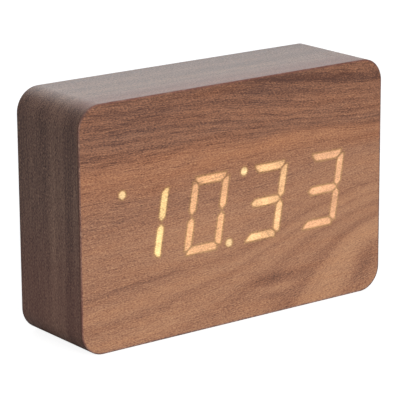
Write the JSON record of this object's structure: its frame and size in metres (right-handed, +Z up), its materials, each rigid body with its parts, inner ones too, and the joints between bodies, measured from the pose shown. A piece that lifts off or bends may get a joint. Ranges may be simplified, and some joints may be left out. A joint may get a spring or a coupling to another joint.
{
  "type": "desk clock",
  "caption": "Brick-shaped walnut-veneered desk clock whose lit figures shine through the front, with rear controls and a battery bay.",
  "frame": {"origin": "middle of the base, where the clock stands", "axes": "+X to the right as seen from the front, +Y from the front to the back, +Z up"},
  "size_m": [0.152, 0.043, 0.1],
  "materials": {
    "fibreboard": "plain machined fibreboard",
    "walnut_front": "matt lacquered walnut veneer, grain along the width",
    "walnut_wrap": "matt lacquered walnut veneer, grain along the strip",
    "walnut_back": "matt lacquered walnut veneer, grain along the width",
    "lit_veneer_yellow": "walnut veneer lit yellow from behind",
    "lit_veneer_amber": "walnut veneer lit amber from behind",
    "diffuser_white": "frosted film",
    "reflector_white": "moulded white plastic",
    "led_yellow": "clear encapsulant over phosphor",
    "circuit_board": "solder mask",
    "zinc_steel": "zinc plated",
    "chip_black": "moulded epoxy",
    "connector_white": "moulded nylon",
    "ribbon_grey": "extruded vinyl",
    "crystal_can": "drawn can",
    "switch_black": "moulded nylon",
    "button_black": "smooth moulding",
    "socket_black": "moulded nylon",
    "nickel": "nickel plated spring steel",
    "sounder_black": "moulded plastic",
    "microphone_can": "drawn can with felt",
    "sensor_black": "dipped epoxy bead",
    "panel_black": "finely textured moulding",
    "panel_screw_steel": "black zinc plated",
    "cell_sleeve": "printed sleeve, plain",
    "lead_red": "vinyl insulation",
    "lead_black": "vinyl insulation"
  },
  "bodies": {
    "case": {"case_body": "fibreboard", "front_veneer": "walnut_front", "wrap_veneer": "walnut_wrap", "base_veneer": "walnut_wrap", "back_veneer": "walnut_back", "lit_hour_tens": "lit_veneer_yellow", "lit_hour_units": "lit_veneer_amber", "lit_minute_tens": "lit_veneer_yellow", "lit_minute_units": "lit_veneer_amber", "lit_colon": "lit_veneer_yellow", "lit_indicator": "lit_veneer_yellow", "diffuser_film": "diffuser_white", "display_reflector": "reflector_white", "display_leds": "led_yellow", "display_board": "circuit_board", "display_screws": "zinc_steel", "display_driver": "chip_black", "ribbon_connectors": "connector_white", "ribbon_cable": "ribbon_grey", "control_board": "circuit_board", "control_board_screws": "zinc_steel", "controller_chip": "chip_black", "clock_crystal": "crystal_can", "tact_switches": "switch_black", "slide_switch": "zinc_steel", "supply_socket": "socket_black", "socket_pin": "nickel", "sounder": "sounder_black", "microphone": "microphone_can", "temperature_sensor": "sensor_black", "rear_panel": "panel_black", "panel_screws": "panel_screw_steel", "battery_cells": "cell_sleeve", "battery_contacts": "nickel", "positive_lead": "lead_red", "negative_lead": "lead_black"},
    "battery_door": {"battery_door": "panel_black"},
    "set_button": {"set_button": "button_black", "set_plunger": "switch_black"},
    "down_button": {"down_button": "button_black", "down_plunger": "switch_black"},
    "up_button": {"up_button": "button_black", "up_plunger": "switch_black"},
    "slide_knob": {"slide_knob": "button_black"}
  },
  "joints": [
    {"name": "set_button_press", "type": "slide", "parent": "case", "child": "set_button", "axis": [0, -1, 0], "range_m": [0, 0.0005], "stiffness_N_per_m": 2500},
    {"name": "down_button_press", "type": "slide", "parent": "case", "child": "down_button", "axis": [0, -1, 0], "range_m": [0, 0.0005], "stiffness_N_per_m": 2500},
    {"name": "up_button_press", "type": "slide", "parent": "case", "child": "up_button", "axis": [0, -1, 0], "range_m": [0, 0.0005], "stiffness_N_per_m": 2500},
    {"name": "sound_switch_slide", "type": "slide", "parent": "case", "child": "slide_knob", "axis": [1, 0, 0], "range_m": [0, 0.003]},
    {"name": "battery_door_tilt", "type": "hinge", "parent": "case", "child": "battery_door", "pos_m": [0.033, 0.02, 0.03185], "axis": [-1, 0, 0], "range_deg": [0, 60]}
  ]
}
